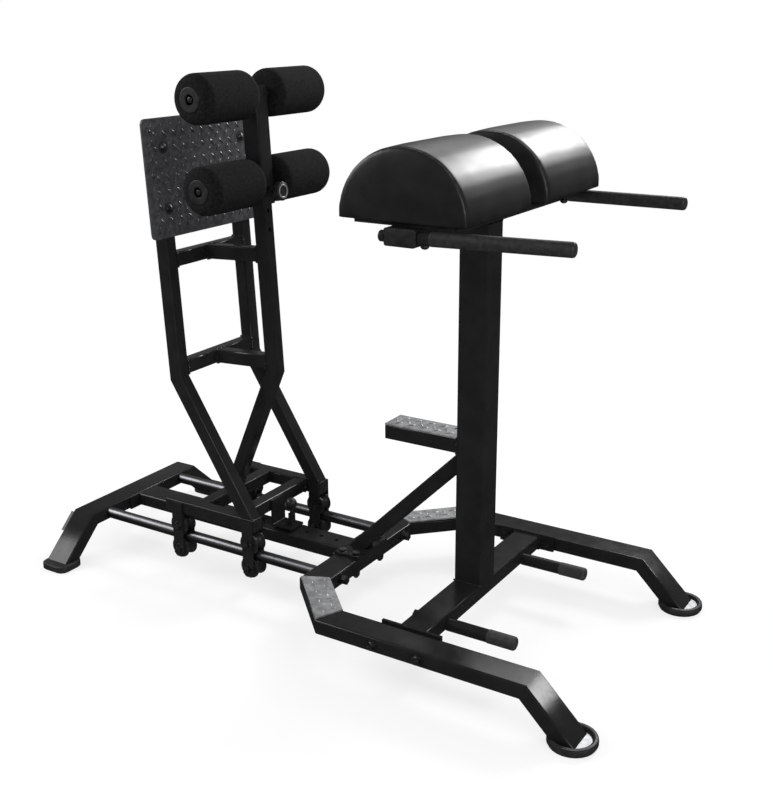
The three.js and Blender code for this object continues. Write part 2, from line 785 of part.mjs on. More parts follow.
// Tower: two bent uprights and a bent column, tied by two crossbars with stubs
const levelCut = at(Math.sin(towerLean), 0, Math.cos(towerLean));
function leaned(x, y, z) {
  const [dx, dz] = [x - columnKneeX, z - columnKneeZ];
  const [cos, sin] = [Math.cos(towerLean), Math.sin(towerLean)];
  return at(dx * cos + dz * sin, y, dz * cos - dx * sin);
}
const columnFace = squareTube / 2;
const uprightFace = -towerDepth + columnFace;
const footBoltZs = [-1, 1].map((end) => footPlateLow + footPlateTall / 2 + end * footBoltSpacing / 2);
const plateRear = uprightFace + seat;
const plateFront = plateRear + footPlateThick;
const columnHoles = [];
for (let shift = -carrierDown; shift <= carrierUp; shift += notchPitch) {
  const floor = at(columnFace - columnHoleDeep, 0, popPinHeight + shift);
  columnHoles.push(bar(columnHoleRadius, floor, alongX, columnHoleDeep + overrun));
}
const gusset = [
  [-gussetReach - columnFace, lowerBar - columnFace / 2],
  [0, lowerBar - columnFace / 2],
  [-columnFace / 2, -gussetDrop],
  [-gussetDrop, -gussetDrop],
];
add('tower_frame', shaped(
  [
    ...sides.map(([, side]) => tube([
      leaned(uprightFootX, side * rodY, railTop + seat),
      at(-towerDepth, side * rodY, 0),
      at(-towerDepth, side * rodY, uprightTall),
    ], alongY, squareOutline, levelCut)),
    tube([leaned(columnFootX, 0, railTop + seat), at(0, 0, 0), at(0, 0, columnTall)], alongY,
      squareOutline, levelCut),
    ...[lowerBar, upperBar].flatMap((z) => [
      tube([at(-towerDepth, -rodY, z), at(-towerDepth, rodY, z)], alongX, squareOutline),
      tube([at(-towerDepth, 0, z), at(0, 0, z)], alongY, squareOutline),
    ]),
    skin([-gussetThick / 2, gussetThick / 2].map((y) => gusset.map(([x, z]) => at(x, y, z)))),
  ],
  [
    ...columnHoles,
    ...sides.flatMap(([, side]) => footBoltZs.map((z) => (
      boltHole(at(-towerDepth - columnFace, side * rodY, z), alongX, squareTube)
    ))),
  ],
), 'coat', tower);

// Foot plate, bolted to the front of the uprights by four domed bolts
add('foot_plate', shaped(
  [stack([[roundedOutline(footPlateWide, footPlateTall, footPlateRound, arcSteps), 0],
    [roundedOutline(footPlateWide, footPlateTall, footPlateRound, arcSteps), footPlateThick]],
  at(plateRear, 0, footPlateLow + footPlateTall / 2), alongY, alongX)],
  sides.flatMap(([, side]) => footBoltZs.map((z) => (
    boltHole(at(plateRear, side * rodY, z), alongX, footPlateThick)
  ))),
), 'tread', tower);
sides.forEach(([name, side]) => footBoltZs.forEach((z, i) => {
  const face = at(plateFront + seat, side * rodY, z);
  const rear = at(-towerDepth - columnFace - seat, side * rodY, z);
  const tipX = rear.x - headTall - boltTip;
  const domeBall = (domeRadius * domeRadius + domeTall * domeTall) / (2 * domeTall);
  const sweep = Math.asin(domeRadius / domeBall);
  const dome = turned([
    [0, 0],
    ...arc(0, domeTall - domeBall, domeBall, rightAngle - sweep, rightAngle),
  ], face, alongX, barSides);
  add(`foot_plate_bolt_${name}_${['lower', 'upper'][i]}`, shaped([
    dome,
    bar(boltRadius, at(tipX, rear.y, z), alongX, face.x - tipX + seat),
    bar(boltHead, rear, at(-1, 0, 0), headTall, hexSides),
  ]), 'steel', tower);
}));

// Ankle carrier: a sleeve over the column with two pairs of stub axles and the pop pin's barrel
const sleeveHalf = sleeveSide / 2;
const sleeveOutline = roundedOutline(sleeveSide, sleeveSide, tubeCorner);
const boreSide = squareTube + 2 * sleeveFit;
const boreOutline = roundedOutline(boreSide, boreSide, tubeCorner + sleeveFit);
const axleReach = foamStart + ankleAxleLong;
add('ankle_carrier', shaped(
  [
    tube([at(0, 0, sleeveLow), at(0, 0, sleeveHigh)], alongY, sleeveOutline),
    bar(popBarrelRadius, at(sleeveHalf - seat, 0, popPinHeight), alongX, popBarrelLong + seat, barSides),
    ...[lowerAxle, upperAxle].flatMap((z) => [
      bar(ankleAxleRadius, at(0, -axleReach, z), alongY, 2 * axleReach, barSides),
      bar(collarRadius, at(0, -sleeveHalf - collarLong, z), alongY, 2 * (sleeveHalf + collarLong), barSides),
    ]),
  ],
  [
    tube([at(0, 0, sleeveLow - overrun), at(0, 0, sleeveHigh - plate)], alongY, boreOutline),
    bar(popPinRadius + seat, at(0, 0, popPinHeight), alongX, sleeveHalf + popBarrelLong + overrun, barSides),
  ],
), 'coat', tower);

// Pop pin, drawn out clear of the column
const popPinLong = popKnobFace - popKnobLong / 2 - popPinTip;
add('pop_pin', shaped([
  bar(popPinRadius, at(popPinTip, 0, popPinHeight), alongX, popPinLong, barSides),
  turned([
    [0, 0],
    [popKnobRadius - popKnobEdge, 0],
    [popKnobRadius, popKnobEdge],
    ...arc(popKnobRadius - popKnobEdge, popKnobLong - popKnobEdge, popKnobEdge, 0, rightAngle),
    [0, popKnobLong],
  ], at(popKnobFace - popKnobLong, 0, popPinHeight), alongX),
]), 'plastic', tower);

// Ankle rollers: foam on a sleeve, with a recessed end cap, turning on the stub axles
sides.forEach(([name, side]) => [['lower', lowerAxle], ['upper', upperAxle]].forEach(([level, z]) => {
  const bore = ankleAxleRadius + bearingFit;
  const boreEnd = ankleAxleLong + bearingFit;
  const round = foamRadius - foamRound;
  add(`ankle_roller_${name}_${level}`, shaped([turned([
    [bore, 0],
    ...arc(round, foamRound, foamRound, -rightAngle, 0, foamSteps),
    ...arc(round, foamLength - foamRound, foamRound, 0, rightAngle, foamSteps),
    [foamCap, foamLength],
    [foamCap - foamCapProud, foamLength + foamCapProud],
    [foamRecess, foamLength + foamCapProud],
    [foamRecess, foamLength + foamCapProud - foamRecessDeep],
    [0, foamLength + foamCapProud - foamRecessDeep],
    [0, boreEnd],
    [bore, boreEnd],
    [bore, 0],
  ], at(0, side * foamStart, z), at(0, side, 0))]), 'foam', tower);
}));

// The middle of the length becomes the origin
const rearReach = -rearTubeX + flatWide / 2 + rearTabThick;
const frontReach = frontFootX + discAhead + discRadius;
assembly.position.x = (rearReach - frontReach) / 2;

export default assembly;
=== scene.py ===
import json
from math import acos, asin, cos, degrees, exp, radians, sin, tan, tau

import bmesh
import bpy
from mathutils import Matrix, Vector

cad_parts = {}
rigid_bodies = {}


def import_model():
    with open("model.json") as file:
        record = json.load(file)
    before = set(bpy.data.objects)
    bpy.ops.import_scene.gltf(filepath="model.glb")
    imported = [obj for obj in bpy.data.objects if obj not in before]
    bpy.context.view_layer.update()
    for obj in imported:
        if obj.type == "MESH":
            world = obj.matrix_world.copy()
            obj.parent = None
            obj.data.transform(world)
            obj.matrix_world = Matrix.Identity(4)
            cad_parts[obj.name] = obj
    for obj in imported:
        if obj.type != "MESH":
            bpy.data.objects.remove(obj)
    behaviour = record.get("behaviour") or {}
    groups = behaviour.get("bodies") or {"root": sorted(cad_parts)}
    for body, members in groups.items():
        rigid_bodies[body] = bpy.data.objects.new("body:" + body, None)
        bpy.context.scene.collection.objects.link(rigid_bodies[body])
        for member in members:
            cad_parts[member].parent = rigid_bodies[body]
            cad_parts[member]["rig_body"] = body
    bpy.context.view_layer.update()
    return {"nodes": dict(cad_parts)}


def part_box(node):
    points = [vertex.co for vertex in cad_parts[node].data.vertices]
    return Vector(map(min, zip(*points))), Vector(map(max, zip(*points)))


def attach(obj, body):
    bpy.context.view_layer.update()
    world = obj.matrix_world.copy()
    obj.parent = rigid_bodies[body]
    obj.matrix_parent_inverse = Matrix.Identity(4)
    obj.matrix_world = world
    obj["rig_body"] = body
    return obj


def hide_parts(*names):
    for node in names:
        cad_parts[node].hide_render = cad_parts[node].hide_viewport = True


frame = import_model()
scene = bpy.context.scene

# Camera: it stands off the front right corner, a little higher than the pads, and looks down
# at the bench. Its place is measured from the front face of the cross-beam.
crossbeam_wide = 0.0763
camera_place = (1.53487, -2.38169, 1.49608)
camera_turn = 32.03
camera_dip = 18.44
camera_roll = -0.33
beam_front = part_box("main_beam")[1].x + crossbeam_wide
camera = bpy.data.objects.new("camera", bpy.data.cameras.new("camera"))
camera.data.sensor_width = 36
camera.data.lens = 52.46
camera.matrix_world = (
    Matrix.Translation((beam_front + camera_place[0], camera_place[1], camera_place[2]))
    @ Matrix.Rotation(radians(camera_turn), 4, "Z")
    @ Matrix.Rotation(radians(90 - camera_dip), 4, "X")
    @ Matrix.Rotation(radians(camera_roll), 4, "Z")
)
scene.collection.objects.link(camera)
scene.camera = camera


# Frame tubes: flat and square steel tube, mitred and welded, with a satin black powder coat.
# The coat is baked on, so it has a faint orange peel and bright lines along its round corners.
def linear(colour):
    """An sRGB hex colour in linear light."""
    parts = [int(colour[at:at + 2], 16) / 255 for at in (1, 3, 5)]
    return [part / 12.92 if part <= 0.04045 else ((part + 0.055) / 1.055) ** 2.4 for part in parts] + [1]


def finish_called(name, **sockets):
    """A new finish and its shader, with the shader's sockets set."""
    finish = bpy.data.materials.new(name)
    finish.use_nodes = True
    shader = finish.node_tree.nodes["Principled BSDF"]
    for socket, value in sockets.items():
        shader.inputs[socket.replace("_", " ")].default_value = value
    return finish, shader


def add(finish, kind, feeds, **settings):
    """Adds a node with its settings; feeds names each input's value or the socket that drives it."""
    made = finish.node_tree.nodes.new(kind)
    for setting, value in settings.items():
        setattr(made, setting, value)
    for socket, value in feeds.items():
        if isinstance(value, bpy.types.NodeSocket):
            finish.node_tree.links.new(value, made.inputs[socket])
        else:
            made.inputs[socket].default_value = value
    return made


def join(finish, output, target):
    """Links a node's output to a socket of the same finish."""
    finish.node_tree.links.new(output, target)


def blotches(finish, size, stretch=(1, 1, 1), detail=2):
    """A noise pattern on object coordinates, with blotches of one size in metres."""
    place = add(finish, "ShaderNodeTexCoord", {})
    turned = add(finish, "ShaderNodeMapping", {"Vector": place.outputs["Object"], "Scale": stretch})
    feeds = {"Vector": turned.outputs[0], "Scale": 1 / size, "Detail": detail}
    return add(finish, "ShaderNodeTexNoise", feeds).outputs["Fac"]


def vary(finish, pattern, low, high, start=0.35, end=0.65):
    """A number that goes from low to high as the pattern goes from start to end."""
    feeds = {"Value": pattern, "From Min": start, "From Max": end, "To Min": low, "To Max": high}
    return add(finish, "ShaderNodeMapRange", feeds).outputs[0]


def tint(finish, shader, pattern, first, second, start=0.35, end=0.65):
    """Colours the shader from the first hex to the second as the pattern goes from start to end."""
    feeds = {0: vary(finish, pattern, 0, 1, start, end), 6: linear(first), 7: linear(second)}
    mixed = add(finish, "ShaderNodeMix", feeds, data_type="RGBA")
    join(finish, mixed.outputs[2], shader.inputs["Base Color"])


def emboss(finish, shader, pattern, depth):
    """Raises the surface by the pattern, to a depth in metres."""
    raised = add(finish, "ShaderNodeBump", {"Height": pattern, "Distance": depth, "Strength": 1})
    join(finish, raised.outputs[0], shader.inputs["Normal"])


# The peel of the real coat is about 1 mm across and is drawn at 4 mm so that it shows.
powder_coat, shader = finish_called("satin powder coat", Specular_IOR_Level=0.25)
tint(powder_coat, shader, blotches(powder_coat, 0.06, detail=4), "#1a1a1b", "#1f1f20")
join(powder_coat, vary(powder_coat, blotches(powder_coat, 0.03), 0.21, 0.26), shader.inputs["Roughness"])
emboss(powder_coat, shader, blotches(powder_coat, 0.004), 0.00012)


sharp_turn = radians(50)
round_turn = radians(24)
narrow_limit = 0.007


def narrow(face):
    """True for a long thin face, such as one strip of a tube's round corner."""
    return 2 * face.calc_area() / face.calc_perimeter() < narrow_limit


def soften(bm, ease):
    """Eases the sharp edges between broad faces, and shades round faces as round."""
    sharp = [
        edge for edge in bm.edges
        if len(edge.link_faces) == 2
        and edge.calc_face_angle() > sharp_turn
        and not any(narrow(face) for face in edge.link_faces)
    ]
    if ease and sharp:
        bmesh.ops.bevel(bm, geom=sharp, offset=ease, offset_type="OFFSET", segments=2, profile=0.5,
                        affect="EDGES", clamp_overlap=False, material=-1)
    for face in bm.faces:
        face.smooth = True
    for edge in bm.edges:
        turn = edge.calc_face_angle(0)
        strip = any(narrow(face) for face in edge.link_faces)
        edge.smooth = turn < round_turn or (turn < sharp_turn and strip)


def piece(bm, name, body, finishes, replaces=()):
    """A finished piece that rides on a body and may stand for CAD nodes."""
    mesh = bpy.data.meshes.new(name)
    bm.to_mesh(mesh)
    bm.free()
    made = bpy.data.objects.new(name, mesh)
    scene.collection.objects.link(made)
    for finish in finishes:
        mesh.materials.append(finish)
    normals = made.modifiers.new("even shading", "WEIGHTED_NORMAL")
    normals.keep_sharp = True
    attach(made, body)
    if replaces:
        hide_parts(*replaces)
    return made


def solid_of(node, joined=True):
    """The merged solid of a CAD node, with the triangles of each flat face joined where asked."""
    bm = bmesh.new()
    bm.from_mesh(frame["nodes"][node].data)
    bmesh.ops.remove_doubles(bm, verts=bm.verts, dist=2e-6)
    if joined:
        bmesh.ops.dissolve_limit(bm, angle_limit=radians(0.5), verts=bm.verts, edges=bm.edges)
    return bm


def refined(node, finishes, ease=0.0009):
    """A CAD node's own shape with eased edges and smooth rounds, in place of that node."""
    bm = solid_of(node, ease > 0)
    soften(bm, ease)
    return piece(bm, node + "_shape", frame["nodes"][node]["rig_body"], finishes, [node])


for node in ("front_frame", "rear_frame", "main_beam", "post_frame"):
    refined(node, [powder_coat])
refined("brace", [powder_coat], 0)

# Weld beads: the ripples that the torch leaves where one tube meets another, under the coat.
# A real ripple is about 1.5 mm long and is drawn at 3.4 mm so that it shows.
bead_pitch = 0.0034
bead_radius = 0.0028
bead_turn = 1.1


def bead(bm, corners, closed=True, place=Matrix()):
    """Lays a rippled bead along straight runs between corners."""
    for start, end in zip(corners, corners[1:] + corners[:1] if closed else corners[1:]):
        start, end = Vector(start), Vector(end)
        count = max(1, round((end - start).length / bead_pitch))
        for step in range(count):
            spot = Matrix.Translation(start.lerp(end, step / count))
            ripple = place @ spot @ Matrix.Rotation(step * bead_turn, 4, "Y")
            bmesh.ops.create_icosphere(bm, subdivisions=1, radius=bead_radius, matrix=ripple)


def section(axis, along, centre, half_wide, half_tall):
    """The four corners of a tube's section square to an axis, at a distance along it."""
    spans = [(-1, -1), (1, -1), (1, 1), (-1, 1)]
    corners = [(centre[0] + wide * half_wide, centre[1] + tall * half_tall) for wide, tall in spans]
    return [{"x": (along, a, b), "y": (a, along, b), "z": (a, b, along)}[axis] for a, b in corners]


post_half = 0.038
flat_half = 0.019
tube_half = 0.019
step_deep = 0.0383
flange_thick = 0.008
brace_drop = 0.0272
brace_half_tall = 0.0269
post_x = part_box("pad_beam")[0].x + post_half
beam_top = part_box("main_beam")[1].z
step_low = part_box("step_tread")[0].z - step_deep
flange_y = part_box("post_frame")[1].y - flange_thick
welds = bmesh.new()
for side in (-1, 1):
    for height in (beam_top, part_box("pad_beam")[0].z):
        ends = [(post_x + end * post_half, side * post_half, height) for end in (-1, 1)]
        bead(welds, ends, False)
    bead(welds, section("y", side * flange_y, (post_x, beam_top - flat_half), post_half, flat_half))
bead(welds, section("x", post_x - post_half, (0, step_low + flat_half), post_half, flat_half))
bead(welds, section("x", post_x - post_half, (0, step_low - brace_drop), tube_half, brace_half_tall))
piece(welds, "post_welds", "base", [powder_coat])

# Corner and step treads: light aluminium tread plate with raised lozenges that cross at right
# angles. The sheet is rolled, left bare and worn bright by shoes.
bare_tread, shader = finish_called("rolled aluminium tread", Metallic=0.6)
tint(bare_tread, shader, blotches(bare_tread, 0.02, detail=5), "#8b8c8d", "#adaeaf")
join(bare_tread, vary(bare_tread, blotches(bare_tread, 0.012), 0.42, 0.52), shader.inputs["Roughness"])
emboss(bare_tread, shader, blotches(bare_tread, 0.003, detail=4), 0.0002)

lozenge_pitch = 0.036
lozenge_half = 0.0125
lozenge_waist = 0.0036
lozenge_rise = 0.0017
tread_ease = 0.0012
tread_margin = 0.011


def lozenges(bm, place, wide, tall, keeps):
    """Adds raised lozenges in two crossing rows over a sheet that place lays flat."""
    columns, rows = int(wide / lozenge_pitch) + 1, int(tall / lozenge_pitch) + 1
    for step in range(2 * (columns + 1) * (rows + 1)):
        crossing, column, row = step % 2, (step // 2) % (columns + 1), step // (2 * columns + 2)
        x = (column + crossing / 2 - columns / 2) * lozenge_pitch
        y = (row + crossing / 2 - rows / 2) * lozenge_pitch
        if not keeps(x, y):
            continue
        shape = (
            place @ Matrix.Translation((x, y, lozenge_rise / 2))
            @ Matrix.Rotation(radians(45 - 90 * crossing), 4, "Z")
            @ Matrix.Diagonal((lozenge_half, lozenge_waist, 1, 1))
        )
        bmesh.ops.create_cone(bm, cap_ends=True, segments=8, radius1=1, radius2=0.45,
                              depth=lozenge_rise * 1.2, matrix=shape)


def inside(corners, x, y, margin):
    """True if a point lies inside a convex outline by a margin."""
    turn = 0
    for (ax, ay), (bx, by) in zip(corners, corners[1:] + corners[:1]):
        side = ((bx - ax) * (y - ay) - (by - ay) * (x - ax)) / Vector((bx - ax, by - ay)).length
        turn += 1 if side > margin else -1 if side < -margin else 0
    return abs(turn) == len(corners)


for node in ("corner_tread_right", "corner_tread_left", "step_tread"):
    low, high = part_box(node)
    middle = (low + high) / 2
    bm = solid_of(node)
    top = max(bm.faces, key=lambda face: face.calc_center_median().z)
    outline = [(v.co.x - middle.x, v.co.y - middle.y) for v in top.verts]
    soften(bm, tread_ease)
    lozenges(bm, Matrix.Translation((middle.x, middle.y, high.z)), high.x - low.x, high.y - low.y,
             lambda x, y: inside(outline, x, y, tread_margin))
    piece(bm, node + "_shape", "base", [bare_tread], [node])

# Guide rods: 31 mm ground steel bar with hard chrome, drawn against the cross-beam by a bolt.
# The grinding leaves a soft gloss, so the bar shows one broad streak and no sharp image.
hard_chrome, shader = finish_called("hard chrome bar", Metallic=1)
tint(hard_chrome, shader, blotches(hard_chrome, 0.05, (0.3, 1, 1)), "#6c6d6f", "#7a7b7d")
join(hard_chrome, vary(hard_chrome, blotches(hard_chrome, 0.02, (0.2, 1, 1)), 0.34, 0.4),
     shader.inputs["Roughness"])

rod_chamfer = 0.001


def spun(points, centre, axis, steps=48, crease=32):
    """A turned shape: pairs of radius and height spun about an axis that starts at a centre."""
    bm = bmesh.new()
    corners = [bm.verts.new((radius, 0, height)) for radius, height in points]
    rim = [bm.edges.new(pair) for pair in zip(corners, corners[1:])]
    bmesh.ops.spin(bm, geom=corners + rim, axis=(0, 0, 1), cent=(0, 0, 0), angle=tau, steps=steps,
                   use_merge=True)
    bmesh.ops.remove_doubles(bm, verts=bm.verts, dist=1e-6)
    bmesh.ops.recalc_face_normals(bm, faces=bm.faces)
    turn = Vector((0, 0, 1)).rotation_difference(Vector(axis)).to_matrix().to_4x4()
    bmesh.ops.transform(bm, matrix=Matrix.Translation(centre) @ turn, verts=bm.verts)
    for face in bm.faces:
        face.smooth = True
    for edge in bm.edges:
        edge.smooth = edge.calc_face_angle(0) < radians(crease)
    return bm


def rounding(radius, height, size, start, end, steps=5):
    """Pairs of radius and height round an arc, with its angles in degrees from the outward side."""
    turns = [radians(start + (end - start) * step / steps) for step in range(steps + 1)]
    return [(radius + size * cos(turn), height + size * sin(turn)) for turn in turns]


for side in ("right", "left"):
    low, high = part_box(f"guide_rod_{side}")
    radius, length = (high.y - low.y) / 2, high.x - low.x
    rod = spun(
        [(0, 0), (radius - rod_chamfer, 0), (radius, rod_chamfer), (radius, length - rod_chamfer),
         (radius - rod_chamfer, length), (0, length)],
        (low.x, (low.y + high.y) / 2, (low.z + high.z) / 2), (1, 0, 0), 64,
    )
    piece(rod, f"guide_rod_{side}_bar", "base", [hard_chrome], [f"guide_rod_{side}"])

# Bolts of the base: hexagon heads with washers, in dark zinc that shows small bright rims, and
# domed nuts under the cross-beam on the ends of the brace's bolts.
dark_zinc, shader = finish_called("dark zinc plating", Metallic=0.9)
tint(dark_zinc, shader, blotches(dark_zinc, 0.008), "#3c3d3f", "#6a6b6d")
join(dark_zinc, vary(dark_zinc, blotches(dark_zinc, 0.005), 0.28, 0.45), shader.inputs["Roughness"])


head_washer_thick = 0.0016


def hexagon(bm, foot, axis, half, tall):
    """A hexagon head with eased top corners on a thin washer, standing on a foot along an axis."""
    turn = Matrix.Translation(foot) @ Vector((0, 0, 1)).rotation_difference(Vector(axis)).to_matrix().to_4x4()
    bmesh.ops.create_cone(bm, cap_ends=True, segments=24, radius1=half * 1.35, radius2=half * 1.3,
                          depth=head_washer_thick,
                          matrix=turn @ Matrix.Translation((0, 0, head_washer_thick / 2)))
    made = bmesh.ops.create_cone(bm, cap_ends=True, segments=6, radius1=half, radius2=half, depth=tall,
                                 matrix=turn @ Matrix.Translation((0, 0, tall / 2)))
    top = max({face for vert in made["verts"] for face in vert.link_faces},
              key=lambda face: face.normal.dot(axis) if face.calc_area() > half * half else -1)
    bmesh.ops.inset_region(bm, faces=[top], thickness=half * 0.12, depth=half * 0.06)


def dome(radius, tall, foot=0, steps=6):
    """The profile of a domed head: an upright foot, then a ball's cap over it."""
    ball = (radius * radius + tall * tall) / (2 * tall)
    sweep = degrees(asin(radius / ball))
    return [(0, 0), (radius, 0)] + rounding(0, foot + tall - ball, ball, 90 - sweep, 90, steps)


for side in ("right", "left"):
    for node in (f"rod_bolt_{side}", f"post_bolt_{side}_rear", f"post_bolt_{side}_front"):
        refined(node, [dark_zinc])

brace_bolt_along = 0.021
brace_bolt_side = 0.059
brace_plate_thick = 0.0063
brace_head_half = 0.0114
brace_head_tall = 0.0074
brace_nut_radius = 0.0105
brace_nut_tall = 0.008
brace_nut_foot = 0.0065
brace_nut_lift = 0.0145
brace_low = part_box("brace")[0].z
for end, name in ((-1, "rear"), (1, "front")):
    for side, out in (("right", -1), ("left", 1)):
        x, y = beam_front - post_half + end * brace_bolt_along, out * brace_bolt_side
        head = bmesh.new()
        hexagon(head, Vector((x, y, beam_top + brace_plate_thick)), Vector((0, 0, 1)), brace_head_half,
                brace_head_tall)
        soften(head, 0)
        piece(head, f"brace_bolt_{side}_{name}", "base", [dark_zinc])
        nut = spun(dome(brace_nut_radius, brace_nut_tall, brace_nut_foot),
                   (x, y, brace_low + brace_nut_lift), (0, 0, -1), 24)
        piece(nut, f"brace_nut_{side}_{name}", "base", [dark_zinc])

# Front feet: a rubber disc with a raised rim under each front leg, and a bare steel washer in
# it that the leg stands on. Moulded rubber, so the rim is rounded and dull grey black.
moulded_rubber, shader = finish_called("moulded rubber", Specular_IOR_Level=0.45)
tint(moulded_rubber, shader, blotches(moulded_rubber, 0.02, detail=4), "#202020", "#2b2b2c")
join(moulded_rubber, vary(moulded_rubber, blotches(moulded_rubber, 0.01), 0.34, 0.5),
     shader.inputs["Roughness"])
emboss(moulded_rubber, shader, blotches(moulded_rubber, 0.0025), 0.00015)
bright_zinc, shader = finish_called("bright zinc plating", Metallic=0.8)
tint(bright_zinc, shader, blotches(bright_zinc, 0.012, detail=4), "#a3a4a6", "#bcbdbf")
join(bright_zinc, vary(bright_zinc, blotches(bright_zinc, 0.006), 0.35, 0.5), shader.inputs["Roughness"])

rim_half = 0.0068
rim_proud = 0.0004
rim_rise = 0.0006
rim_inner_low = 0.0105
rim_outer_low = 0.006
foot_washer_lift = 0.0108
foot_washer_thick = 0.0012
foot_washer_ease = 0.0006
for side in ("right", "left"):
    refined(f"front_foot_{side}", [moulded_rubber], 0)
    low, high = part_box(f"front_foot_{side}")
    outer = (high.y - low.y) / 2 + rim_proud
    inner = outer - 2 * rim_half
    rim_top = high.z - low.z + rim_rise - rim_half
    rim = spun(
        [(inner, rim_inner_low)] + rounding(outer - rim_half, rim_top, rim_half, 180, 0, 10)
        + [(outer, rim_outer_low), (inner, rim_outer_low), (inner, rim_inner_low)],
        ((low.x + high.x) / 2, (low.y + high.y) / 2, low.z), (0, 0, 1), 96,
    )
    piece(rim, f"foot_rim_{side}", "base", [moulded_rubber])
    washer = spun(
        [(0, 0), (inner, 0), (inner, foot_washer_thick - foot_washer_ease),
         (inner - foot_washer_ease, foot_washer_thick), (0, foot_washer_thick)],
        ((low.x + high.x) / 2, (low.y + high.y) / 2, low.z + foot_washer_lift), (0, 0, 1), 72,
    )
    piece(washer, f"foot_washer_{side}", "base", [bright_zinc])

# Rear feet: rubber boots with rounded corners that the ends of the rear tube stand in.
for side in ("right", "left"):
    refined(f"rear_foot_{side}", [moulded_rubber])

# Band pegs: round bars on the post beam that hold an exercise band. The outer part of each peg has a thin
# shell in a lighter grey, which is painted reflection: it stands in for the light that falls on that part.
painted_reflection_grey, shader = finish_called("peg grey with painted reflection", Specular_IOR_Level=0.35)
# The lighter grey of this finish is painted reflection on the outer part of each peg.
tint(painted_reflection_grey, shader, blotches(painted_reflection_grey, 0.012, detail=4), "#2b2b2c", "#393939")
join(painted_reflection_grey, vary(painted_reflection_grey, blotches(painted_reflection_grey, 0.006), 0.5, 0.68),
     shader.inputs["Roughness"])
emboss(painted_reflection_grey, shader, blotches(painted_reflection_grey, 0.0025), 0.00015)

sleeve_long = 0.071
sleeve_thick = 0.0009
sleeve_ease = 0.0006
sleeve_round = 0.006
sleeve_proud = 0.0008
for side in ("right", "left"):
    refined(f"band_peg_{side}", [powder_coat])
    low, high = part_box(f"band_peg_{side}")
    radius = (high.y - low.y) / 2 + sleeve_thick
    sleeve = spun(
        [(0, 0), (radius - sleeve_ease, 0), (radius, sleeve_ease)]
        + rounding(radius - sleeve_round, sleeve_long - sleeve_round, sleeve_round, 0, 90)
        + [(0, sleeve_long)],
        (high.x + sleeve_proud - sleeve_long, (low.y + high.y) / 2, (low.z + high.z) / 2), (1, 0, 0),
    )
    # This shell, in the lighter grey, is painted reflection on the outer part of the peg.
    piece(sleeve, f"band_peg_{side}_sleeve", "base", [painted_reflection_grey])

# Hole plugs: small plastic buttons in the front face of the post's beam.
black_plastic, shader = finish_called("moulded black plastic", Specular_IOR_Level=0.4)
tint(black_plastic, shader, blotches(black_plastic, 0.015), "#1a1a1a", "#232324")
join(black_plastic, vary(black_plastic, blotches(black_plastic, 0.006), 0.35, 0.5),
     shader.inputs["Roughness"])
emboss(black_plastic, shader, blotches(black_plastic, 0.002), 0.00008)

hole_plug_radius = 0.0048
hole_plug_tall = 0.0012
for name, y, z in (("outer", -0.1306, 0.1151), ("inner", -0.0994, 0.1117), ("far", 0.1464, 0.1077)):
    button = spun(dome(hole_plug_radius, hole_plug_tall), (post_x + post_half, y, z), (1, 0, 0), 20)
    piece(button, f"hole_plug_{name}", "base", [black_plastic])

# Pad beam: flat tube across the top of the post, with moulded plastic plugs in its ends.
refined("pad_beam", [powder_coat])
for side in ("right", "left"):
    refined(f"beam_cap_{side}", [black_plastic], 0)

# Handles: steel bars that toe in from the beam's front face, each held by a round nut behind
# it and a thumb screw below, with a moulded vinyl grip that is rounded at its end.
grip_vinyl, shader = finish_called("moulded grip vinyl", Specular_IOR_Level=0.4)
tint(grip_vinyl, shader, blotches(grip_vinyl, 0.012, detail=4), "#222222", "#2e2e2e")
join(grip_vinyl, vary(grip_vinyl, blotches(grip_vinyl, 0.008), 0.4, 0.55), shader.inputs["Roughness"])
emboss(grip_vinyl, shader, blotches(grip_vinyl, 0.0025), 0.00015)

grip_radius = 0.0157
grip_start = 0.026
grip_reach = 0.3328
grip_round = 0.006
grip_bore = 0.0125
grip_ease = 0.001
grip_dimple = 0.006
grip_dimple_ease = 0.0006
handle_toe = radians(4)
handle_rise = radians(0.8)
handle_y = 0.3485
handle_gap = 0.0013
handle_lift = 0.0005
screw_ahead = 0.012
screw_drop = 0.0125
screw_radius = 0.0095
screw_tall = 0.0055
screw_foot = 0.0045
pad_beam_low, pad_beam_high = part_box("pad_beam")
for side, out in (("right", -1), ("left", 1)):
    refined(f"handle_{side}", [powder_coat])
    way = Vector((cos(handle_toe), -out * sin(handle_toe), tan(handle_rise))).normalized()
    root = Vector((pad_beam_high.x + handle_gap, out * handle_y,
                   (pad_beam_low.z + pad_beam_high.z) / 2 + handle_lift))
    grip = spun(
        [(grip_bore, grip_start), (grip_radius - grip_ease, grip_start),
         (grip_radius, grip_start + grip_ease)]
        + rounding(grip_radius - grip_round, grip_reach - grip_round, grip_round, 0, 90)
        + [(grip_dimple + grip_dimple_ease, grip_reach), (grip_dimple, grip_reach - grip_dimple_ease),
           (0, grip_reach - grip_dimple_ease)],
        root, way,
    )
    piece(grip, f"handle_{side}_grip", "base", [grip_vinyl])
    seat = root + way * screw_ahead - Vector((0, 0, screw_drop))
    screw = spun(dome(screw_radius, screw_tall, screw_foot), seat, (0, 0, -1), 28)
    piece(screw, f"handle_{side}_screw", "base", [dark_zinc])

# Pad boards: plywood under each cushion, stained black, with the layers showing faintly.
black_ply, shader = finish_called("stained plywood", Specular_IOR_Level=0.3)
tint(black_ply, shader, blotches(black_ply, 0.004, (0.1, 0.1, 1)), "#121212", "#242423")
join(black_ply, vary(black_ply, blotches(black_ply, 0.01), 0.7, 0.9), shader.inputs["Roughness"])

for side in ("right", "left"):
    refined(f"pad_board_{side}", [black_ply])

